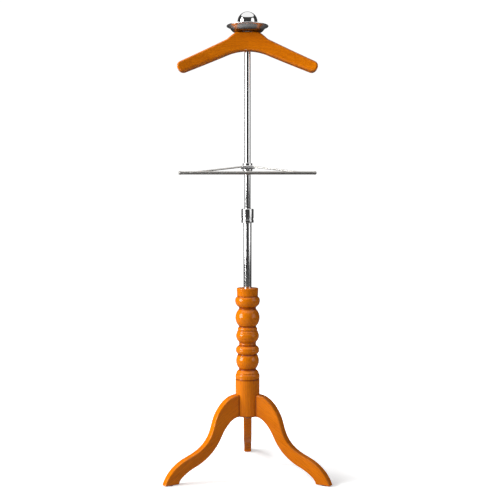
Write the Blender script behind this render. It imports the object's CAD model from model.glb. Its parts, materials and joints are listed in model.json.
"""Looks of a valet stand: turned and lacquered wood, chromed tubes, a yoke, a trouser bar and a dish.

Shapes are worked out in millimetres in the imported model's frame and scaled to metres when a piece
is finished. Z is up, -Y is the front, and the pole stands on the Z axis.
"""
import json
import math

import bmesh
import bpy
from mathutils import Matrix, Vector


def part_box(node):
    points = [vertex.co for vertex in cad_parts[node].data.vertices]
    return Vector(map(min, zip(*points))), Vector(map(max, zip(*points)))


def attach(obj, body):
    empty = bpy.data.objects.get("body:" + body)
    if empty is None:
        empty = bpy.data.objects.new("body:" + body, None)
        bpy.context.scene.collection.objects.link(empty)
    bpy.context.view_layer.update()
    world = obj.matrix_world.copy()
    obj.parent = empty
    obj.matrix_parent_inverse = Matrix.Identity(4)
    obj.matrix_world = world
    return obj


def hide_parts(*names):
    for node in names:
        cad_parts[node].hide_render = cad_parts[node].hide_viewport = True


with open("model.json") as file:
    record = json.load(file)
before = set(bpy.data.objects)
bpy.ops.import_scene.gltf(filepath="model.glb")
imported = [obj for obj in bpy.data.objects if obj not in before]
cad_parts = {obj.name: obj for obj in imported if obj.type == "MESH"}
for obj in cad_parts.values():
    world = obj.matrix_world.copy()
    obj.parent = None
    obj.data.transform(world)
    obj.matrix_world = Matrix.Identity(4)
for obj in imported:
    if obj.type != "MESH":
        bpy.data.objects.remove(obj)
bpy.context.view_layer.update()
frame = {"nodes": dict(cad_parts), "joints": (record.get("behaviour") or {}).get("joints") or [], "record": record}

MM = 0.001
FULL_TURN = 2 * math.pi
QUARTER_TURN = math.pi / 2
SHARP_EDGE = math.radians(38)
SLIVER = 0.004
HEX_CORNER = math.cos(math.pi / 6)
TURNED_STEPS = 96

BODY_OF = {node: body for body, nodes in frame["record"]["behaviour"]["bodies"].items()
           for node in nodes}
SLOT_OF = {part["node"]: part["material_slot"] for part in frame["record"]["subparts"]}


def box(node):
    """A CAD node's lowest and highest corners in millimetres."""
    low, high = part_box(node)
    return low / MM, high / MM


def top_of(node):
    return box(node)[1].z


def foot_of(node):
    return box(node)[0].z


def radius_of(node):
    """The radius of a CAD node that is turned about the pole's axis."""
    return box(node)[1].x


# ---- Camera and lights ----

def look_at(piece, place, target):
    piece.location = Vector(place)
    piece.rotation_euler = (Vector(target) - Vector(place)).to_track_quat("-Z", "Y").to_euler()
    bpy.context.scene.collection.objects.link(piece)


LENS_MM, FRAME_SHIFT = 66.2, -0.055
EYE, EYE_TILT = (0.0077, -2.85, 0.8196), 0.823


def make_camera():
    """Looks along +Y from in front, tilted down by a little."""
    camera = bpy.data.objects.new("camera", bpy.data.cameras.new("camera"))
    camera.data.lens = LENS_MM
    camera.data.shift_y = FRAME_SHIFT
    camera.location = EYE
    camera.rotation_euler = (QUARTER_TURN - math.radians(EYE_TILT), 0, 0)
    bpy.context.scene.collection.objects.link(camera)
    bpy.context.scene.camera = camera


def make_softbox(name, place, target, size, watts):
    """A soft light that doesn't show in shiny pieces, which see the world's panels instead."""
    lamp = bpy.data.lights.new(name, "AREA")
    lamp.shape = "RECTANGLE"
    lamp.size, lamp.size_y = size
    lamp.energy = watts
    softbox = bpy.data.objects.new(name, lamp)
    softbox.visible_glossy = False
    look_at(softbox, place, target)


make_camera()


# ---- Shader maths ----

class Value:
    """A node's output. Arithmetic on it adds Math nodes to its tree."""

    def __init__(self, tree, socket):
        self.tree = tree
        self.socket = socket

    def math(self, operation, *terms):
        return self.tree.node("ShaderNodeMath", {"operation": operation}, dict(enumerate(terms)))

    def __add__(self, other):
        return self.math("ADD", self, other)

    def __radd__(self, other):
        return self.math("ADD", other, self)

    def __sub__(self, other):
        return self.math("SUBTRACT", self, other)

    def __rsub__(self, other):
        return self.math("SUBTRACT", other, self)

    def __mul__(self, other):
        return self.math("MULTIPLY", self, other)

    def __rmul__(self, other):
        return self.math("MULTIPLY", other, self)


class Tree:
    """A node tree being written: every node comes from its one method."""

    def __init__(self, owner):
        owner.use_nodes = True
        self.tree = owner.node_tree
        self.tree.nodes.clear()

    def node(self, kind, settings=None, inputs=None, output=0):
        made = self.tree.nodes.new(kind)
        for name, value in (settings or {}).items():
            setattr(made, name, value)
        for name, value in (inputs or {}).items():
            if isinstance(value, Value):
                self.tree.links.new(value.socket, made.inputs[name])
            else:
                made.inputs[name].default_value = value
        return Value(self, made.outputs[output]) if made.outputs else made

    def blend(self, factor, first, second):
        """A Mix node on two colours."""
        return self.node("ShaderNodeMix", {"data_type": "RGBA"},
                         {0: factor, 6: first, 7: second}, 2)

    def stretch(self, vector, scale):
        return self.node("ShaderNodeVectorMath", {"operation": "MULTIPLY"}, {0: vector, 1: scale})

    def noise(self, vector, scale, detail=2.0, distortion=0.0):
        return self.node("ShaderNodeTexNoise", None, {
            "Vector": vector, "Scale": scale, "Detail": detail, "Distortion": distortion})

    def between(self, value, low, high, to_low=0.0, to_high=1.0):
        """A value's range taken to another range, and held inside it."""
        return self.node("ShaderNodeMapRange", None,
                         {0: value, 1: low, 2: high, 3: to_low, 4: to_high})

    def bump(self, height, distance, strength=1.0):
        return self.node("ShaderNodeBump", None, {
            "Strength": strength, "Distance": distance, "Height": height})


def grey(level):
    return (level, level, level, 1)


def new_material(name, finish, *choices):
    """finish(tree, *choices) returns the Principled shader's inputs."""
    material = bpy.data.materials.new(name)
    tree = Tree(material)
    shader = tree.node("ShaderNodeBsdfPrincipled", None, finish(tree, *choices))
    tree.node("ShaderNodeOutputMaterial", None, {"Surface": shader})
    return material


# ---- Finishes ----

LIGHT_STAIN = (0.86, 0.232, 0.001, 1)
DEEP_STAIN = (0.52, 0.108, 0.0, 1)
PORE_STAIN = (0.24, 0.034, 0.0, 1)
CREASE_STAIN = (0.20, 0.024, 0.0, 1)
CREASE_DEPTH = 0.85


def lacquered_wood(tree, grain_turn, pith):
    """Straight-grained hardwood under honey stain and gloss lacquer. grain_turn turns the Z
    axis along the grain, and pith is a point on the middle of the tree that it was cut from.
    The stain has gathered where a piece's crease attribute is high."""
    place = tree.node("ShaderNodeTexCoord", output="Object")
    wood = tree.node("ShaderNodeMapping", {"vector_type": "TEXTURE"},
                     {"Vector": place, "Location": pith, "Rotation": grain_turn})
    drift = tree.noise(tree.stretch(wood, (1, 1, 0.12)), 9, 3)
    rings = tree.node("ShaderNodeTexWave", {
        "wave_type": "RINGS", "rings_direction": "Z", "wave_profile": "SAW"}, {
        "Vector": wood, "Scale": 62, "Distortion": 5.5, "Detail": 2, "Detail Scale": 1.2})
    fibre = tree.noise(tree.stretch(wood, (1, 1, 0.035)), 330, 3)
    pores = tree.noise(tree.stretch(wood, (1, 1, 0.03)), 1300, 1)
    pore = tree.between(pores, 0.60, 0.70)
    tone = drift * 0.75 + rings * 0.16 + fibre * 0.42
    stain = tree.blend(tree.between(tone, 0.40, 0.94), DEEP_STAIN, LIGHT_STAIN)
    stain = tree.blend(pore * 0.45, stain, PORE_STAIN)
    crease = tree.node("ShaderNodeAttribute", {"attribute_name": "crease"}, None, 2)
    ripple = tree.noise(place, 60, 1)
    return {
        "Base Color": tree.blend(crease * CREASE_DEPTH, stain, CREASE_STAIN),
        "Roughness": tree.between(fibre, 0.3, 0.7, 0.42, 0.54),
        "Specular IOR Level": 0.0,
        "Coat Weight": 1.0,
        "Coat Roughness": 0.16,
        "Coat IOR": 1.42,
        "Normal": tree.bump(ripple * 0.5 + fibre * 0.15 - pore * 0.12, 0.00018, 0.45)}


def chrome(tree, along, lightness, roughness):
    """Plated and polished steel, with faint marks of polishing drawn out by along."""
    place = tree.node("ShaderNodeTexCoord", output="Object")
    marks = tree.noise(tree.stretch(place, along), 900, 3)
    smears = tree.noise(place, 38, 3, 0.6)
    haze = tree.between(smears, 0.35, 0.75, roughness, roughness * 1.25)
    return {
        "Base Color": tree.blend(smears, grey(lightness), grey(lightness * 0.9)),
        "Metallic": 1.0,
        "Roughness": haze + tree.between(marks, 0.3, 0.7, 0.0, 0.02),
        "Normal": tree.bump(marks, 0.00002, 0.1)}


def dish_plating(tree):
    """Softly polished chrome that has dulled and darkened towards the foot of the dish."""
    look = chrome(tree, ALL_WAYS, 0.92, 0.24)
    place = tree.node("ShaderNodeTexCoord", output="Object")
    height = tree.node("ShaderNodeSeparateXYZ", None, {0: place}, 2)
    foot, rim = foot_of("dish") * MM, top_of("dish") * MM
    clean = tree.between(height, foot + 0.15 * (rim - foot), foot + 0.45 * (rim - foot))
    look["Base Color"] = tree.blend(clean, grey(0.22), look["Base Color"])
    return look


def satin_steel(tree, along):
    """Brushed steel: fine scratches drawn out by along, and a little unevenness."""
    place = tree.node("ShaderNodeTexCoord", output="Object")
    scratches = tree.noise(tree.stretch(place, along), 1500, 4)
    patches = tree.noise(place, 60, 3)
    warm, cool = (0.50, 0.485, 0.455, 1), (0.61, 0.60, 0.575, 1)
    return {
        "Base Color": tree.blend(tree.between(scratches, 0.3, 0.7), warm, cool),
        "Metallic": 1.0,
        "Roughness": tree.between(patches, 0.3, 0.7, 0.24, 0.36) + scratches * 0.1,
        "Normal": tree.bump(scratches, 0.00004, 0.5)}


def zinc_plate(tree):
    """Dull plated hardware: clouded, a little yellow, and rough."""
    place = tree.node("ShaderNodeTexCoord", output="Object")
    clouds = tree.noise(place, 260, 4, 1.0)
    specks = tree.noise(place, 2400, 2)
    return {
        "Base Color": tree.blend(clouds, (0.42, 0.42, 0.42, 1), (0.62, 0.61, 0.56, 1)),
        "Metallic": 1.0,
        "Roughness": tree.between(clouds, 0.3, 0.7, 0.30, 0.48),
        "Normal": tree.bump(specks, 0.00003, 0.4)}


def moulded_plastic(tree, colour, shade, roughness):
    """Moulded plastic: a fine spark-eroded texture and slight clouding."""
    place = tree.node("ShaderNodeTexCoord", output="Object")
    clouds = tree.noise(place, 120, 3)
    texture = tree.noise(place, 2600, 2)
    return {
        "Base Color": tree.blend(clouds, colour, shade),
        "Roughness": tree.between(texture, 0.3, 0.7, roughness, roughness + 0.14),
        "Normal": tree.bump(texture, 0.00005, 0.6)}


def pressed_felt(tree):
    """Grey wool felt: short crossed fibres, pale flecks and a soft sheen."""
    place = tree.node("ShaderNodeTexCoord", output="Object")
    fibres = tree.noise(place, 1100, 4, 2.5)
    flecks = tree.between(tree.noise(place, 2600, 1, 3.0), 0.62, 0.70)
    ground = tree.blend(fibres, (0.035, 0.035, 0.04, 1), (0.13, 0.13, 0.14, 1))
    return {
        "Base Color": tree.blend(flecks * 0.5, ground, grey(0.35)),
        "Roughness": 0.95,
        "Sheen Weight": 0.4,
        "Sheen Roughness": 0.5,
        "Normal": tree.bump(fibres, 0.0004, 0.8)}


LEG_TURNS = {"leg_front_left": 210, "leg_front_right": 330, "leg_rear": 90}
LEG_FALL = 122
ALONG_POLE, ALONG_BAR, ALL_WAYS = (1, 1, 0.03), (0.02, 1, 1), (1, 1, 1)

upright_wood = new_material("honey_wood_upright", lacquered_wood, (0, 0, 0), (-0.07, 0.05, 0))
yoke_wood = new_material("honey_wood_yoke", lacquered_wood, (0, QUARTER_TURN, 0),
                         (0, 0.03, 1.27))
leg_woods = {
    node: new_material("honey_wood_" + node, lacquered_wood,
                       (0, math.radians(LEG_FALL), math.radians(turn)), (0.02, 0.03, -0.05))
    for node, turn in LEG_TURNS.items()}
tube_chrome = new_material("chrome_tubes", chrome, ALONG_POLE, 0.84, 0.17)
bright_chrome = new_material("chrome_bright", chrome, ALL_WAYS, 0.80, 0.035)
dish_chrome = new_material("chrome_dish", dish_plating)
bar_steel = new_material("satin_bar", satin_steel, ALONG_BAR)
hardware = new_material("zinc_hardware", zinc_plate)
nylon = new_material("white_nylon", moulded_plastic, (0.80, 0.79, 0.73, 1),
                     (0.86, 0.85, 0.80, 1), 0.38)
glide_plastic = new_material("dark_glide_plastic", moulded_plastic, grey(0.018), grey(0.035), 0.42)
felt = new_material("grey_felt", pressed_felt)
PLAIN_FINISH = {"honey_lacquered_wood": upright_wood, "chromed_steel": tube_chrome,
                "plain_steel": hardware, "white_nylon": nylon, "dark_glides": glide_plastic,
                "grey_felt": felt}


# ---- Outlines ----

def rounded(corners, steps=5):
    """A closed outline through corners (x, y) or (x, y, radius), with each radius as an arc."""
    points = []
    for i, (x, y, *radius) in enumerate(corners):
        corner = Vector((x, y))
        if not radius:
            points.append(corner)
            continue
        before = (Vector(corners[i - 1][:2]) - corner).normalized()
        after = (Vector(corners[(i + 1) % len(corners)][:2]) - corner).normalized()
        half = before.angle(after) / 2
        centre = corner + (before + after).normalized() * radius[0] / math.sin(half)
        reach = radius[0] / math.tan(half)
        start, end = corner + before * reach - centre, corner + after * reach - centre
        points += [centre + radius[0] * start.normalized().slerp(end.normalized(), k / steps)
                   for k in range(steps + 1)]
    return points


def curve(a, b, c, d, steps=10):
    """Points of a cubic curve from a to d, pulled towards b and c."""
    a, b, c, d = Vector(a), Vector(b), Vector(c), Vector(d)
    points = []
    for i in range(steps + 1):
        t = i / steps
        s = 1 - t
        points.append(s ** 3 * a + 3 * s * s * t * b + 3 * s * t * t * c + t ** 3 * d)
    return points


def arc(centre, radius, start, end, steps=12):
    """Points of an arc, with its angles in degrees."""
    turns = [math.radians(start + (end - start) * i / steps) for i in range(steps + 1)]
    return [Vector(centre) + radius * Vector((math.cos(t), math.sin(t))) for t in turns]


def wall_outline(path, thickness):
    """The closed outline of a sheet that follows a path through its middle."""
    sides = ([], [])
    for i, point in enumerate(path):
        ahead = path[min(i + 1, len(path) - 1)] - path[max(i - 1, 0)]
        across = Vector((-ahead.y, ahead.x)).normalized() * thickness / 2
        sides[0].append(point + across)
        sides[1].append(point - across)
    return sides[1] + sides[0][::-1]


# ---- Solids ----

def turned(outline, steps=TURNED_STEPS):
    """A solid turned about Z from its closed half outline of (radius, height)."""
    bm = bmesh.new()
    corners = [bm.verts.new((r, 0, h)) for r, h in outline]
    edges = [bm.edges.new(pair) for pair in zip(corners, corners[1:] + corners[:1])
             if pair[0].co.x > 0 or pair[1].co.x > 0]
    bmesh.ops.spin(bm, geom=corners + edges, cent=(0, 0, 0), axis=(0, 0, 1), dvec=(0, 0, 0),
                   angle=FULL_TURN, steps=steps, use_merge=True)
    bmesh.ops.remove_doubles(bm, verts=bm.verts, dist=1e-4)
    bmesh.ops.recalc_face_normals(bm, faces=bm.faces)
    return bm


def slab(outline, thickness):
    """A slab cut to an outline in the XZ plane, with its thickness centred on y = 0."""
    bm = bmesh.new()
    face = bm.faces.new([bm.verts.new((p[0], -thickness / 2, p[1])) for p in outline])
    sides = bmesh.ops.extrude_face_region(bm, geom=[face])
    moved = [v for v in sides["geom"] if isinstance(v, bmesh.types.BMVert)]
    bmesh.ops.translate(bm, verts=moved, vec=(0, thickness, 0))
    bmesh.ops.recalc_face_normals(bm, faces=bm.faces)
    return bm


def block(low, high):
    """A plain block between two corners, to be bevelled or cut with."""
    bm = bmesh.new()
    low, high = Vector(low), Vector(high)
    bmesh.ops.create_cube(bm, size=1, matrix=Matrix.Translation((low + high) / 2)
                          @ Matrix.Diagonal((*(high - low), 1)))
    return bm


def bevelled(bm, edges, radius, segments=3):
    bmesh.ops.bevel(bm, geom=list(edges), offset=radius, offset_type="OFFSET",
                    segments=segments, profile=0.5, affect="EDGES", clamp_overlap=True,
                    material=-1)
    return bm


def placed(bm, matrix):
    bmesh.ops.transform(bm, matrix=matrix, verts=bm.verts)
    return bm


def joined(*parts):
    """Several closed shapes as one mesh."""
    whole = bmesh.new()
    for part in parts:
        mesh = bpy.data.meshes.new("part")
        part.to_mesh(mesh)
        part.free()
        whole.from_mesh(mesh)
        bpy.data.meshes.remove(mesh)
    return whole


def repeated(bm, matrices):
    """Copies of a shape, one for each matrix."""
    parts = [placed(bm.copy(), matrix) for matrix in matrices]
    bm.free()
    return joined(*parts)


def carved(bm, tool, operation="DIFFERENCE"):
    """A closed shape with another one cut from it, or joined to it, or kept in common."""
    holders = []
    for shape in (bm, tool):
        mesh = bpy.data.meshes.new("carving")
        shape.to_mesh(mesh)
        shape.free()
        holders.append(bpy.data.objects.new("carving", mesh))
        bpy.context.scene.collection.objects.link(holders[-1])
    cut = holders[0].modifiers.new("cut", "BOOLEAN")
    cut.object, cut.operation, cut.solver = holders[1], operation, "EXACT"
    bpy.context.view_layer.update()
    result = bmesh.new()
    result.from_object(holders[0], bpy.context.evaluated_depsgraph_get())
    for holder in holders:
        mesh = holder.data
        bpy.data.objects.remove(holder)
        bpy.data.meshes.remove(mesh)
    return result


def threaded(radius, pitch, low, high, steps=32):
    """A screw thread about Z, with flat ends."""
    bm = bmesh.new()
    root = radius - 0.6 * pitch
    start = low - pitch
    profile = [(root, 0), (radius, 0.42 * pitch), (radius, 0.58 * pitch), (root, pitch)]
    corners = [bm.verts.new((r, 0, start + h)) for r, h in profile]
    edges = [bm.edges.new(pair) for pair in zip(corners, corners[1:])]
    turns = math.ceil((high - low) / pitch) + 1
    bmesh.ops.spin(bm, geom=corners + edges, cent=(0, 0, 0), axis=(0, 0, 1),
                   dvec=(0, 0, pitch / steps), angle=FULL_TURN * turns, steps=steps * turns)
    bmesh.ops.remove_doubles(bm, verts=bm.verts, dist=1e-3)
    for height, side in ((low, -1), (high, 1)):
        geom = list(bm.verts) + list(bm.edges) + list(bm.faces)
        bmesh.ops.bisect_plane(bm, geom=geom, dist=1e-5, plane_co=(0, 0, height),
                               plane_no=(0, 0, side), clear_outer=True)
        rim = [e for e in bm.edges if e.is_boundary
               and all(abs(v.co.z - height) < 1e-3 for v in e.verts)]
        bmesh.ops.edgenet_fill(bm, edges=rim)
    bmesh.ops.recalc_face_normals(bm, faces=bm.faces)
    return bm


def bent_rod(path, radius, segments=20):
    """A round rod swept along a path of points, with a closed flat face at each end."""
    bm = bmesh.new()
    path = [Vector(p) for p in path]
    ahead = [(path[min(i + 1, len(path) - 1)] - path[max(i - 1, 0)]).normalized()
             for i in range(len(path))]
    stations = [Matrix.Translation(p) @ d.to_track_quat("Z", "Y").to_matrix().to_4x4()
                for p, d in zip(path, ahead)]
    ring = bmesh.ops.create_circle(bm, cap_ends=True, segments=segments, radius=radius,
                                   matrix=stations[0])["verts"]
    edges = [e for e in bm.edges if all(v in ring for v in e.verts)]
    for before, station in zip(stations, stations[1:]):
        grown = bmesh.ops.extrude_edge_only(bm, edges=edges)["geom"]
        moved = [g for g in grown if isinstance(g, bmesh.types.BMVert)]
        edges = [g for g in grown if isinstance(g, bmesh.types.BMEdge)]
        bmesh.ops.transform(bm, matrix=station @ before.inverted(), verts=moved)
    bmesh.ops.edgeloop_fill(bm, edges=edges)
    bmesh.ops.recalc_face_normals(bm, faces=bm.faces)
    return bm


def finish_piece(name, bm, *nodes, material=None, level_flats=False, crease=None):
    """Makes the shape a piece that stands for CAD nodes: it takes their body and their slot.
    crease gives how deep in a crease a point is, from 0 to 1, for the wood's finish."""
    creases = [crease(v.co) for v in bm.verts] if crease else []
    bmesh.ops.scale(bm, vec=(MM, MM, MM), verts=bm.verts)
    for face in bm.faces:
        face.smooth = True
    for edge in bm.edges:
        edge.smooth = edge.calc_face_angle(0) < SHARP_EDGE
    mesh = bpy.data.meshes.new(name)
    bm.to_mesh(mesh)
    bm.free()
    mesh.materials.append(material or PLAIN_FINISH[SLOT_OF[nodes[0]]])
    if creases:
        mesh.attributes.new("crease", "FLOAT", "POINT").data.foreach_set("value", creases)
    piece = bpy.data.objects.new(name, mesh)
    bpy.context.scene.collection.objects.link(piece)
    if level_flats:
        piece.modifiers.new("level_flats", "WEIGHTED_NORMAL").keep_sharp = True
    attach(piece, BODY_OF[nodes[0]])
    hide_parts(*nodes)
    return piece


def about_pole(angle):
    return Matrix.Rotation(math.radians(angle), 4, "Z")


# ---- The wooden base ----

SNUG = 0.05
FREE_FIT = 0.3
hub_r = radius_of("base_hub")
hub_foot, hub_top = foot_of("base_hub"), top_of("base_hub")
tenon_foot = foot_of("turned_spindle")
spindle_top = top_of("turned_spindle")
rod_r = radius_of("tie_rod")
plate_r = radius_of("hub_plate")
plate_top = top_of("hub_plate")
tenon_r = 15
tube_r = radius_of("lower_tube")
socket_floor = foot_of("lower_tube")


def near_joint(distance, reach=3.5):
    """How deep in a crease a point is that lies at a distance from a joint."""
    return max(0.0, 1 - abs(distance) / reach)


def make_hub():
    rod_hole = rod_r + FREE_FIT
    recess_r = plate_r + FREE_FIT
    tenon_hole = tenon_r + SNUG
    finish_piece("hub_wood", turned(rounded([
        (rod_hole, plate_top), (recess_r, plate_top), (recess_r, hub_foot, 0.5),
        (hub_r, hub_foot, 1.8), (hub_r, hub_foot + 6), (hub_r, hub_top - 5),
        (hub_r, hub_top, 1.6), (tenon_hole, hub_top, 0.4),
        (tenon_hole, tenon_foot - 2), (rod_hole, tenon_foot - 2)])),
        "base_hub", material=upright_wood,
        crease=lambda p: max(near_joint(p.z - hub_top), near_joint(p.z - hub_foot, 4)))


# A bead: its share of the spindle's height, its widest radius and its roundness
BEADS = [(0.032, 37.5, 23), (0.199, 35.5, 35.5), (0.317, 36.5, 14.5), (0.475, 35.5, 26),
         (0.546, 30.5, 8), (0.674, 37.5, 37.5), (0.859, 38.5, 22)]
# A cut ring: its height above the hub, its depth and its half width
RINGS = [(16.5, 2.0, 1.7), (4.5, 0.4, 0.8), (90.0, 1.2, 1.2), (111.0, 0.6, 1.2),
         (117.5, 0.7, 1.2), (124.0, 0.6, 1.2), (142.0, 1.2, 1.4), (237.0, 0.5, 1.0),
         (254.6, 2.2, 1.9)]
NECK_R = 26.5
FOOT_R, FOOT_H = 37.5, 9
CAP_R, CAP_WAIST_R = 33.5, 31.8
CAP_FOOT_SHARE = 0.859


def spindle_radius(height):
    """The turned spindle's radius at a height above the hub."""
    whole = spindle_top - hub_top
    widest = NECK_R
    if height <= FOOT_H:
        widest = FOOT_R
    for share, bead_r, roundness in BEADS:
        off = height - share * whole
        if abs(off) < roundness:
            widest = max(widest, bead_r - roundness + math.sqrt(roundness ** 2 - off ** 2))
    cap_foot = CAP_FOOT_SHARE * whole
    if height >= cap_foot:
        up = (height - cap_foot) / (whole - cap_foot)
        widest = max(widest, CAP_WAIST_R + (CAP_R - CAP_WAIST_R) * up)
    cut = sum(depth * math.exp(-((height - ring) / half_w) ** 2)
              for ring, depth, half_w in RINGS)
    return widest - cut


def spindle_crease(point):
    """How deep a point of the spindle lies between its beads or in a cut ring."""
    height = point.z - hub_top
    if height < 0 or point.z > spindle_top - 3:
        return near_joint(height)
    around = [spindle_radius(height + off) for off in (-7, -4, 4, 7)]
    hollow = (sum(around) / 4 - spindle_radius(height)) / 3.2
    return max(near_joint(height), min(1.0, max(0.0, hollow)))


def make_spindle():
    whole = spindle_top - hub_top
    step, blur = 0.7, 0.7
    foot_edge, top_edge = 1.5, 3.0
    count = round((whole - foot_edge - top_edge) / step)
    side = []
    for i in range(count + 1):
        height = foot_edge + (whole - foot_edge - top_edge) * i / count
        near = [spindle_radius(height + off) for off in (-blur, 0, blur)]
        side.append((sum(near) / 3, hub_top + height))
    socket_r = tube_r + SNUG
    rod_hole = rod_r + FREE_FIT
    top_arc = arc((CAP_R - top_edge, spindle_top - top_edge), top_edge, 10, 90, 6)
    finish_piece("spindle_wood", turned(
        [(rod_hole, tenon_foot), (tenon_r, tenon_foot), (tenon_r, hub_top),
         (FOOT_R - foot_edge, hub_top), (FOOT_R - 0.4, hub_top + 0.5)] + side
        + [tuple(p) for p in top_arc]
        + [(socket_r + 0.6, spindle_top), (socket_r, spindle_top - 0.6),
           (socket_r, socket_floor), (rod_hole, socket_floor)]),
        "turned_spindle", material=upright_wood, crease=spindle_crease)


# A leg's edges as shares of its reach beyond the hub and of its height at the hub
LEG_UPPER = [(0, 1), (0.16, 1), (0.30, 0.83), (0.34, 0.66), (0.39, 0.46), (0.49, 0.37),
             (0.68, 0.30), (0.82, 0.25), (0.95, 0.15), (1, 0)]
LEG_LOWER = [(0, 1), (0.09, 1), (0.19, 0.84), (0.24, 0.69), (0.32, 0.47), (0.45, 0.32),
             (0.60, 0.24), (0.69, 0.19), (0.81, 0.09), (0.815, 0)]
LEG_EDGE_R = 3.6
LEG_TOE_T = 23


def leg_edge(shares, height, sole, reach):
    points = [Vector((hub_r + x * (reach - hub_r), sole + h * (height - sole)))
              for x, h in shares]
    return (curve(*points[:4]) + curve(*points[3:7])[1:] + curve(*points[6:])[1:])


def leg_shape():
    """One leg that lies along +X: bevelled, tapered in thickness and coped to the hub."""
    low, high = box("leg_rear")
    root_t, sole, reach = high.x - low.x, low.z, high.y
    upper = leg_edge(LEG_UPPER, high.z, sole, reach)
    lower = leg_edge(LEG_LOWER, hub_foot, sole, reach)
    bm = slab(upper + lower[::-1], root_t)
    long_edges = [e for e in bm.edges
                  if abs(e.verts[0].co.y - e.verts[1].co.y) < 1e-6
                  and max(v.co.x for v in e.verts) > hub_r + 0.01]
    bevelled(bm, long_edges, LEG_EDGE_R, 4)
    toe = [e for e in bm.edges if min(v.co.x for v in e.verts) > reach - 12
           and max(v.co.z for v in e.verts) < sole + 0.01
           and abs(e.verts[0].co.y - e.verts[1].co.y) > 10]
    bevelled(bm, toe, 1.2, 2)
    bmesh.ops.bisect_plane(bm, geom=list(bm.verts) + list(bm.edges) + list(bm.faces),
                           dist=1e-4, plane_co=(hub_r + 5, 0, 0), plane_no=(1, 0, 0))
    for y in (-9, -4.5, 0, 4.5, 9):
        bmesh.ops.bisect_plane(bm, geom=list(bm.verts) + list(bm.edges) + list(bm.faces),
                               dist=1e-4, plane_co=(0, y, 0), plane_no=(0, 1, 0))
    for v in bm.verts:
        share = (v.co.x - hub_r) / (reach - hub_r)
        v.co.y *= 1 + share * (LEG_TOE_T / root_t - 1)
        if v.co.x < hub_r + 0.01:
            v.co.x = math.sqrt((hub_r + SNUG) ** 2 - v.co.y ** 2)
    return bm


def make_legs():
    for node, turn in LEG_TURNS.items():
        finish_piece(node + "_wood", placed(leg_shape(), about_pole(turn)), node,
                     material=leg_woods[node], level_flats=True,
                     crease=lambda p: near_joint(math.hypot(p.x, p.y) - hub_r, 5))


def make_glides():
    """Domed plastic glides, each nailed into its leg."""
    high = box("floor_glides")[1]
    glide_r = 9
    at = high.y - glide_r
    rim_h = foot_of("leg_rear")
    pin_r, pin_top = 1.5, high.z
    glide = turned(rounded([
        (0, pin_top), (pin_r, pin_top, 0.3), (pin_r, rim_h), (glide_r, rim_h, 0.3),
        (glide_r, 0, 1.3), (5.2, 0, 0.3), (4.9, 0.5, 0.2), (4.0, 0.5, 0.2), (3.7, 0, 0.3),
        (0, 0)], 3), 48)
    finish_piece("glide_discs", repeated(glide, [
        about_pole(turn) @ Matrix.Translation((at, 0, 0)) for turn in LEG_TURNS.values()]),
        "floor_glides")


# ---- What clamps the base together ----

def hexagon(across_flats, low, high):
    bm = bmesh.new()
    bmesh.ops.create_circle(bm, cap_ends=True, segments=6,
                            radius=across_flats / 2 / HEX_CORNER,
                            matrix=Matrix.Translation((0, 0, low)))
    grown = bmesh.ops.extrude_face_region(bm, geom=list(bm.faces))["geom"]
    bmesh.ops.translate(bm, vec=(0, 0, high - low),
                        verts=[v for v in grown if isinstance(v, bmesh.types.BMVert)])
    bmesh.ops.recalc_face_normals(bm, faces=bm.faces)
    return bm


def make_clamp():
    """The nut, its washer, the tie rod with its threaded ends, and the plate's screws."""
    low, high = box("tie_rod_nut")
    flats = high.y - low.y
    round_r = flats / 2 / HEX_CORNER
    chamfer = round_r - flats / 2
    nut_body = turned([(0, low.z), (flats / 2, low.z), (round_r, low.z + 0.58 * chamfer),
                       (round_r, high.z - 0.58 * chamfer), (flats / 2, high.z), (0, high.z)], 48)
    nut = carved(hexagon(flats, low.z - 1, high.z + 1), nut_body, "INTERSECT")
    hole = turned(rounded([(0, low.z - 1), (rod_r + 1.2, low.z - 1), (rod_r + SNUG, low.z + 0.4),
                           (rod_r + SNUG, high.z + 1), (0, high.z + 1)]), 48)
    finish_piece("clamp_nut", carved(nut, hole), "tie_rod_nut")

    washer_r = radius_of("tie_rod_washer")
    low_z, high_z = foot_of("tie_rod_washer"), top_of("tie_rod_washer")
    finish_piece("clamp_washer", turned(rounded([
        (rod_r + FREE_FIT, low_z, 0.2), (washer_r, low_z, 0.4), (washer_r, high_z, 0.25),
        (rod_r + FREE_FIT, high_z, 0.2)], 3), 64), "tie_rod_washer")

    rod_low, rod_high = foot_of("tie_rod"), top_of("tie_rod")
    thread_l, pitch, shank_r = 34, 1.25, rod_r - 0.65
    finish_piece("clamp_rod", joined(
        threaded(rod_r, pitch, rod_low, rod_low + thread_l),
        turned([(0, rod_low + thread_l), (shank_r, rod_low + thread_l),
                (shank_r, rod_high - thread_l), (0, rod_high - thread_l)], 48),
        threaded(rod_r, pitch, rod_high - thread_l, rod_high)), "tie_rod")

    screw_high = box("hub_plate_screws")[1]
    head_r, shank_r, screw_at = 3.8, 2.0, plate_r - 7
    cone_h = head_r - shank_r
    head = turned([(0, hub_foot), (head_r - 0.3, hub_foot), (head_r, hub_foot + 0.25),
                   (shank_r, hub_foot + cone_h + 0.25), (shank_r - 0.4, screw_high.z - 4),
                   (0, screw_high.z)], 40)
    arm, width, depth = 2.2, 0.9, 1.3
    for half_x, half_y in ((arm, width / 2), (width / 2, arm)):
        head = carved(head, block((-half_x, -half_y, hub_foot - 1),
                                  (half_x, half_y, hub_foot + depth)))
    finish_piece("plate_screws", repeated(head, [
        about_pole(150 + 120 * i) @ Matrix.Translation((screw_at, 0, 0)) for i in range(3)]),
        "hub_plate_screws")


# ---- The telescoping pole ----

TUBE_WALL = 1.2
lock_screw_low, lock_screw_high = box("lock_stud")
lock_h = (lock_screw_low.z + lock_screw_high.z) / 2


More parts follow.
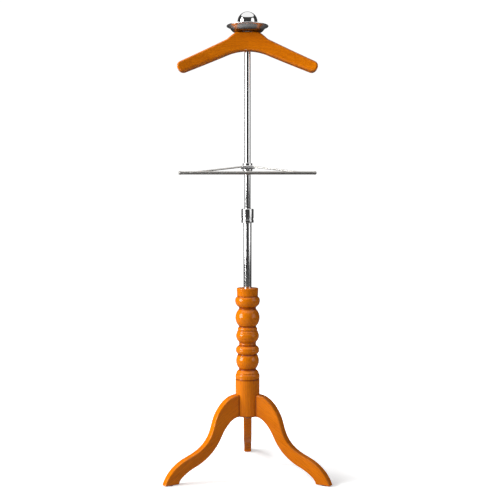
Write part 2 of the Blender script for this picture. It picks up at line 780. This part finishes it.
def plain_tube(outer_r, wall, low, high):
    return turned(rounded([
        (outer_r - wall, low, 0.25), (outer_r, low, 0.4), (outer_r, high, 0.4),
        (outer_r - wall, high, 0.25)], 3), 128)


def along_lock_screw(distance):
    """Turns Z to point backwards along the lock's screw, from a distance behind the pole."""
    return Matrix.Translation((0, distance, lock_h)) @ Matrix.Rotation(-QUARTER_TURN, 4, "X")


def make_tubes():
    for name, node in (("lower_tube_chrome", "lower_tube"), ("upper_tube_chrome", "upper_tube")):
        finish_piece(name, plain_tube(radius_of(node), TUBE_WALL, foot_of(node), top_of(node)),
                     node, material=tube_chrome)


def make_lock():
    """The collar over the lower tube's mouth, its knob and the knob's threaded stud."""
    collar_r = radius_of("lock_collar")
    low, high = foot_of("lock_collar"), top_of("lock_collar")
    mouth = top_of("guide_bush")
    tube_hole, pole_hole = tube_r + SNUG, radius_of("upper_tube") + 0.4
    waist, waist_low, waist_high = collar_r - 1.2, low + 8, low + 15
    collar = turned(rounded([
        (tube_hole, low, 0.5), (collar_r, low, 1.6), (collar_r, waist_low, 0.6),
        (waist, waist_low + 0.8, 0.4), (waist, waist_high - 0.8, 0.4),
        (collar_r, waist_high, 0.6), (collar_r, high, 2.4), (pole_hole, high, 0.8),
        (pole_hole, mouth), (tube_hole, mouth)], 4), 128)
    stud_r = (lock_screw_high.x - lock_screw_low.x) / 2
    hole = placed(turned([(0, 0), (stud_r + 0.1, 0), (stud_r + 0.1, collar_r + 4),
                          (0, collar_r + 4)], 48), along_lock_screw(0))
    finish_piece("lock_collar_chrome", carved(collar, hole), "lock_collar",
                 material=tube_chrome, level_flats=True)

    knob_low, knob_high = box("lock_knob")
    knob_r = (knob_high.x - knob_low.x) / 2
    knob_l = knob_high.y - knob_low.y
    flutes, flute_depth, around = 12, 1.5, 240
    bm = bmesh.new()
    bmesh.ops.create_circle(bm, cap_ends=True, segments=around, radius=knob_r)
    for v in bm.verts:
        turn = math.atan2(v.co.y, v.co.x) * flutes
        v.co.xy *= 1 - flute_depth / knob_r * max(0, math.cos(turn)) ** 1.6
    grown = bmesh.ops.extrude_face_region(bm, geom=list(bm.faces))["geom"]
    bmesh.ops.translate(bm, vec=(0, 0, knob_l),
                        verts=[v for v in grown if isinstance(v, bmesh.types.BMVert)])
    bmesh.ops.recalc_face_normals(bm, faces=bm.faces)
    rims = [e for e in bm.edges if abs(e.verts[0].co.z - e.verts[1].co.z) < 1e-6]
    bevelled(bm, rims, 1.3, 4)
    cap = max(bm.faces, key=lambda f: f.calc_center_median().z)
    for inset, rise in ((1.6, 0), (0.5, -0.7)):
        bmesh.ops.inset_region(bm, faces=[cap], thickness=inset, depth=rise)
    stud_hole = turned([(0, -1), (stud_r + SNUG, -1), (stud_r + SNUG, 12), (0, 12)], 48)
    finish_piece("lock_knob_chrome",
                 placed(carved(bm, stud_hole), along_lock_screw(knob_low.y)),
                 "lock_knob", material=bright_chrome, level_flats=True)

    stud_l = lock_screw_high.y - lock_screw_low.y
    finish_piece("lock_stud_thread", placed(threaded(stud_r, 1.0, 0, stud_l, 28),
                                            along_lock_screw(lock_screw_low.y)), "lock_stud")


# ---- The shoulder yoke ----

YOKE_MID_H = 57
YOKE_FLAT_W = 74
YOKE_NECK = (67, 28)
YOKE_SLOPE = 25.7
YOKE_ARM = 35
YOKE_ARCH_R = 160
YOKE_MID_T, YOKE_END_T, YOKE_BOW = 38, 52, 26
YOKE_EDGE_R = 6.5
YOKE_BEND_REACH, YOKE_BEND_STEP = 204, 12


def yoke_outline(half_w, top, bottom):
    """The yoke's front outline: a flat top, two sloping arms with round ends and an arch."""
    slope = math.radians(YOKE_SLOPE)
    end_r = YOKE_ARM / 2 - 1
    neck = Vector((YOKE_NECK[0], top - YOKE_NECK[1]))
    inner = neck + Vector((-math.sin(slope), -math.cos(slope))) * end_r
    run = (half_w - end_r - inner.x) / math.cos(slope)
    end = inner + Vector((math.cos(slope), -math.sin(slope))) * run
    right = (curve((YOKE_FLAT_W / 2 - 10, top), (YOKE_FLAT_W / 2 + 2, top),
                   neck + Vector((-14, 14)), neck + Vector((-4, 5)), 10)
             + arc(end, end_r, 90 - YOKE_SLOPE, -90 - YOKE_SLOPE, 16)
             + arc((0, bottom - YOKE_ARCH_R), YOKE_ARCH_R, 90 - YOKE_SLOPE, 90, 16))
    left = [Vector((-p.x, p.y)) for p in reversed(right) if p.x > 0.01]
    return right + left


def make_yoke():
    high = box("shoulder_yoke")[1]
    half_w, top = high.x, high.z
    bottom = top - YOKE_MID_H
    bm = slab(yoke_outline(half_w, top, bottom), YOKE_MID_T)
    around = [e for e in bm.edges if abs(e.verts[0].co.y - e.verts[1].co.y) < 1e-6]
    bevelled(bm, around, YOKE_EDGE_R, 6)
    for x in range(-YOKE_BEND_REACH, YOKE_BEND_REACH + 1, YOKE_BEND_STEP):
        bmesh.ops.bisect_plane(bm, geom=list(bm.verts) + list(bm.edges) + list(bm.faces),
                               dist=1e-4, plane_co=(x, 0, 0), plane_no=(1, 0, 0))
    for v in bm.verts:
        out = abs(v.co.x) / half_w
        thicker = 1 + out * (YOKE_END_T / YOKE_MID_T - 1)
        v.co.y = v.co.y * thicker - YOKE_BOW * out * out
    socket_top = top_of("upper_tube")
    tube_hole, stud_hole = radius_of("upper_tube") + SNUG, radius_of("top_stud") + FREE_FIT
    socket = turned([(0, bottom - 30), (tube_hole, bottom - 30), (tube_hole, socket_top),
                     (stud_hole, socket_top), (stud_hole, top + 5), (0, top + 5)], 64)
    finish_piece("yoke_wood", carved(bm, socket), "shoulder_yoke", material=yoke_wood,
                 level_flats=True)


# ---- The dish and the ball ----

def make_dish():
    washer_r = radius_of("dish_washer")
    stud_hole = radius_of("top_stud") + FREE_FIT
    low, high = foot_of("dish_washer"), top_of("dish_washer")
    finish_piece("felt_washer", turned(rounded([
        (stud_hole, low), (washer_r, low, 0.3), (washer_r, high, 0.3), (stud_hole, high)], 3)),
        "dish_washer")

    rim_r = radius_of("dish")
    low, high = foot_of("dish"), top_of("dish")
    base_r, sheet, bend_r, rim_bead_r = 45, 1.2, 7, 1.5
    height = high - low - sheet
    flare = rim_r - base_r
    floor_h = low + sheet / 2
    wall = curve((base_r, floor_h), (base_r + 0.30 * flare, floor_h + 0.38 * height),
                 (base_r + 0.55 * flare, floor_h + 0.86 * height),
                 (rim_r - rim_bead_r, high - rim_bead_r), 18)
    into_wall = (wall[3] - Vector((base_r, floor_h))).normalized()
    bend = curve((base_r - bend_r, floor_h), (base_r - 2, floor_h),
                 Vector((base_r, floor_h)) + into_wall * 1.5, wall[4], 8)
    path = [Vector((stud_hole, floor_h)), Vector((base_r - bend_r - 6, floor_h))]
    outline = wall_outline(path + bend + wall[5:], sheet)
    half = len(outline) // 2
    bead = arc((rim_r - rim_bead_r, high - rim_bead_r), rim_bead_r, -60, 150, 10)
    finish_piece("dish_chrome", turned(outline[:half - 1] + bead + outline[half + 1:], 160),
                 "dish", material=dish_chrome)


def make_ball():
    ball_r = radius_of("ball")
    top = top_of("ball")
    centre = top - ball_r
    wall = 2
    flat = foot_of("ball")
    foot_r = math.sqrt(ball_r ** 2 - (centre - flat) ** 2)
    hole_r = radius_of("top_stud") + FREE_FIT
    start = -math.degrees(math.acos(foot_r / ball_r))
    inner_r = ball_r - wall
    inner_start = -math.degrees(math.acos(hole_r / inner_r))
    outer = arc((0, centre), ball_r, start, 90, 60)
    inner = arc((0, centre), inner_r, 90, inner_start, 40)
    outer[-1].x = inner[0].x = 0
    finish_piece("ball_chrome", turned([(hole_r, flat)] + outer + inner, 144), "ball",
                 material=bright_chrome)


# ---- The trouser bar ----

WIRE_R = 2.5
wire_high = box("bar_wires")[1]
rail_low, rail_high = box("trouser_bar")
rail_r = (rail_high.z - rail_low.z) / 2
rail_h = (rail_high.z + rail_low.z) / 2
rail_y = (rail_high.y + rail_low.y) / 2
fold = next(joint for joint in frame["joints"] if joint["name"] == "bar_fold")
hinge_y, hinge_h = (place / MM for place in fold["pos_m"][1:])
BARREL_R, BARREL_HALF_W = 4.5, 16
WIRE_BEND = 3
LEDGE_HALF_W = 22
rail_run = wire_high.x - WIRE_R - (BARREL_HALF_W + WIRE_BEND)
# How far a wire has dropped where it passes the end of the ledge
LEDGE_DROP = (hinge_h - rail_h) * (LEDGE_HALF_W - BARREL_HALF_W - WIRE_BEND) / rail_run


def across_hinge(bm):
    """Turns a shape about Z to lie along the hinge's axis."""
    return placed(bm, Matrix.Translation((0, hinge_y, hinge_h))
                  @ Matrix.Rotation(QUARTER_TURN, 4, "Y"))


def make_bar_collar():
    """The collar on the pole, its hinge barrel on a web, and the ledge that stops the wires."""
    pole_r = radius_of("upper_tube")
    collar_r = 15
    half_h = 12
    low, high = hinge_h - half_h, hinge_h + half_h
    collar = turned(rounded([(0, low), (collar_r, low, 1.4), (collar_r, high, 1.4), (0, high)]),
                    96)
    barrel = across_hinge(turned(rounded([
        (0, -BARREL_HALF_W), (BARREL_R, -BARREL_HALF_W, 0.8), (BARREL_R, BARREL_HALF_W, 0.8),
        (0, BARREL_HALF_W)]), 48))
    web_half_w, web_half_h, behind = 9, BARREL_R - 0.1, -collar_r + 3.1
    web = block((-web_half_w, hinge_y, hinge_h - web_half_h),
                (web_half_w, behind, hinge_h + web_half_h))
    ledge_front, ledge_t = hinge_y - 2 * WIRE_R, 3
    ledge_top = hinge_h - WIRE_R - 0.4 - LEDGE_DROP
    ledge = block((-LEDGE_HALF_W, ledge_front, ledge_top - ledge_t),
                  (LEDGE_HALF_W, behind, ledge_top))
    upright = [e for e in ledge.edges if abs(e.verts[0].co.z - e.verts[1].co.z) > 1
               and e.verts[0].co.y < hinge_y]
    bevelled(ledge, upright, 4, 5)
    flat_rims = [e for e in ledge.edges if abs(e.verts[0].co.z - e.verts[1].co.z) < 1e-6
                 and min(v.co.y for v in e.verts) < behind - 0.1
                 and len({round(v.co.z, 3) for v in e.verts}) == 1]
    bevelled(ledge, flat_rims, 0.5, 2)
    bm = collar
    for part in (web, ledge, barrel):
        bm = carved(bm, part, "UNION")
    bore = turned([(0, low - 5), (pole_r + SNUG, low - 5), (pole_r + SNUG, high + 5),
                   (0, high + 5)], 96)
    pin_hole_r = WIRE_R + 0.08
    pin_hole = across_hinge(placed(turned([
        (0, -30), (pin_hole_r, -30), (pin_hole_r, 30), (0, 30)], 36), about_pole(1)))
    grub_hole = placed(turned([(0, 0), (2.55, 0), (2.55, 20), (0, 20)], 40),
                       Matrix.Translation((0, 0, hinge_h)) @ Matrix.Rotation(-QUARTER_TURN, 4, "X"))
    for tool in (bore, pin_hole, grub_hole):
        bm = carved(bm, tool)
    # The cuts leave slivers where they meet, and can drop one
    bmesh.ops.dissolve_degenerate(bm, dist=SLIVER, edges=bm.edges)
    bmesh.ops.holes_fill(bm, edges=[e for e in bm.edges if e.is_boundary], sides=4)
    bmesh.ops.recalc_face_normals(bm, faces=bm.faces)
    finish_piece("bar_collar_chrome", bm, "bar_collar", material=tube_chrome, level_flats=True)

    low, high = box("bar_collar_screw")
    grub_r, grub_l = (high.x - low.x) / 2, high.y - low.y
    grub = turned([(0, 0), (grub_r - 0.9, 0), (grub_r, 0.9), (grub_r, grub_l - 0.5),
                   (grub_r - 0.5, grub_l), (0, grub_l)], 40)
    grub = carved(grub, hexagon(2.5, grub_l - 2.2, grub_l + 1))
    finish_piece("collar_grub_screw", placed(grub, Matrix.Translation((0, low.y, hinge_h))
                 @ Matrix.Rotation(-QUARTER_TURN, 4, "X")), "bar_collar_screw")


def wire_path():
    """The middle of the bent wire: in from one end of the bar, through the barrel, and out."""
    bend = Vector((BARREL_HALF_W + WIRE_BEND, hinge_y, hinge_h))
    bar_end = Vector((wire_high.x - WIRE_R, rail_y, rail_h))
    run = (bar_end - bend).normalized()
    near, far = bend - Vector((WIRE_BEND, 0, 0)), bend + run * WIRE_BEND
    corner = [near.lerp(bend, t).lerp(bend.lerp(far, t), t) for t in (0, 0.2, 0.4, 0.6, 0.8, 1)]
    out = corner + [bar_end - run * (rail_r + 6), bar_end - run * (rail_r - 1.0)]
    return [Vector((-p.x, p.y, p.z)) for p in reversed(out)] + out


def make_bar():
    finish_piece("bar_wire_bent", bent_rod(wire_path(), WIRE_R, 32), "bar_wires",
                 material=bar_steel)

    wall = 1
    half_l = rail_high.x
    along_bar = Matrix.Translation((0, rail_y, rail_h)) @ Matrix.Rotation(QUARTER_TURN, 4, "Y")
    finish_piece("bar_tube_satin", placed(plain_tube(rail_r, wall, -half_l, half_l), along_bar),
                 "trouser_bar", material=bar_steel)

    end_ball_r = rail_r + 0.5
    spigot_r, spigot_l = rail_r - wall - SNUG, 10
    dome = arc((0, end_ball_r / 2), end_ball_r, -30, 90, 24)
    dome[-1].x = 0
    knob = turned([(0, -spigot_l), (spigot_r - 0.5, -spigot_l), (spigot_r, -spigot_l + 0.5),
                   (spigot_r, 0)] + dome, 64)
    finish_piece("bar_end_knobs", repeated(knob, [
        along_bar @ Matrix.Translation((0, 0, half_l)),
        along_bar @ Matrix.Rotation(math.pi, 4, "X") @ Matrix.Translation((0, 0, half_l))]),
        "bar_end_balls", material=bar_steel)


# ---- The object ----

for node, piece in frame["nodes"].items():
    piece.data.materials.clear()
    piece.data.materials.append(PLAIN_FINISH[SLOT_OF[node]])

make_hub()
make_spindle()
make_legs()
make_glides()
make_clamp()
make_tubes()
make_lock()
make_yoke()
make_dish()
make_ball()
make_bar_collar()
make_bar()


# ---- The studio ----

GLOW_EDGES, GLOW_NEAR, GLOW_FAR = (0.30, 0.9), 0.41, 0.95
BACKDROP, FILL = 1.05, 0.20
LEFT_PANEL, RIGHT_PANEL, TOP_PANEL, PANEL_GAPS = 12.0, 1.6, 1.15, 0.05


def floor_finish(tree):
    """A pale floor that glows a little so that it runs into the backdrop. Shiny pieces see it
    darker than the camera does."""
    place = tree.node("ShaderNodeTexCoord", output="Object")
    away = tree.node("ShaderNodeVectorMath", {"operation": "LENGTH"}, {0: place}, 1)
    rays = tree.node("ShaderNodeLightPath")
    seen = Value(tree, rays.socket.node.outputs["Is Camera Ray"])
    mirrored = Value(tree, rays.socket.node.outputs["Is Glossy Ray"])
    glow = tree.blend(tree.between(away, *GLOW_EDGES), grey(GLOW_NEAR), grey(GLOW_FAR))
    return {
        "Base Color": tree.blend(seen, tree.blend(mirrored, grey(0.42), grey(0.20)), grey(0.94)),
        "Roughness": 1.0,
        "Specular IOR Level": 0.0,
        "Emission Color": tree.blend(seen, grey(0.0), glow),
        "Emission Strength": 1.0}


def make_floor():
    bm = bmesh.new()
    bmesh.ops.create_grid(bm, x_segments=1, y_segments=1, size=30)
    mesh = bpy.data.meshes.new("floor")
    bm.to_mesh(mesh)
    bm.free()
    floor = bpy.data.objects.new("floor", mesh)
    bpy.context.scene.collection.objects.link(floor)
    mesh.materials.append(new_material("floor_pale", floor_finish))


def make_world():
    """White to the camera and a soft fill on everything. Shiny pieces see a studio: white
    panels at the sides and overhead, with dark gaps between them."""
    world = bpy.data.worlds.new("studio")
    bpy.context.scene.world = world
    tree = Tree(world)
    way = tree.node("ShaderNodeSeparateXYZ", None,
                    {0: tree.node("ShaderNodeTexCoord", output="Generated")})
    x = way
    y = Value(tree, way.socket.node.outputs[1])
    z = Value(tree, way.socket.node.outputs[2])
    overhead = tree.between(z, 0.66, 0.72, 0.0, TOP_PANEL)
    level = (tree.between(y, -0.22, -0.06, 1.0, 0.0) * tree.between(z, 0.50, 0.58, 1.0, 0.0)
             * tree.between(z, -0.30, -0.22))
    left = tree.between(x, -0.82, -0.74, 1.0, 0.0) * level
    right = tree.between(x, 0.64, 0.72) * level
    lit = left * LEFT_PANEL + right * RIGHT_PANEL + overhead + PANEL_GAPS
    panels = tree.stretch(grey(1.0)[:3], lit)
    rays = tree.node("ShaderNodeLightPath")
    glossy = Value(tree, rays.socket.node.outputs["Is Glossy Ray"])
    seen = Value(tree, rays.socket.node.outputs["Is Camera Ray"])
    light = tree.blend(seen, tree.blend(glossy, grey(FILL), panels), grey(BACKDROP))
    tree.node("ShaderNodeOutputWorld", None, {
        "Surface": tree.node("ShaderNodeBackground", None, {"Color": light, "Strength": 1.0})})


make_floor()
make_world()
make_softbox("key", (-2.7, -1.1, 1.7), (0, 0, 0.7), (2.0, 2.4), 134)
make_softbox("rim", (-2.4, 0.5, 2.6), (0, 0, 0.3), (0.6, 0.6), 44)
make_softbox("right_fill", (2.8, -1.6, 1.6), (0, 0, 0.8), (0.8, 1.6), 18)
bpy.context.scene.view_settings.view_transform = "Standard"
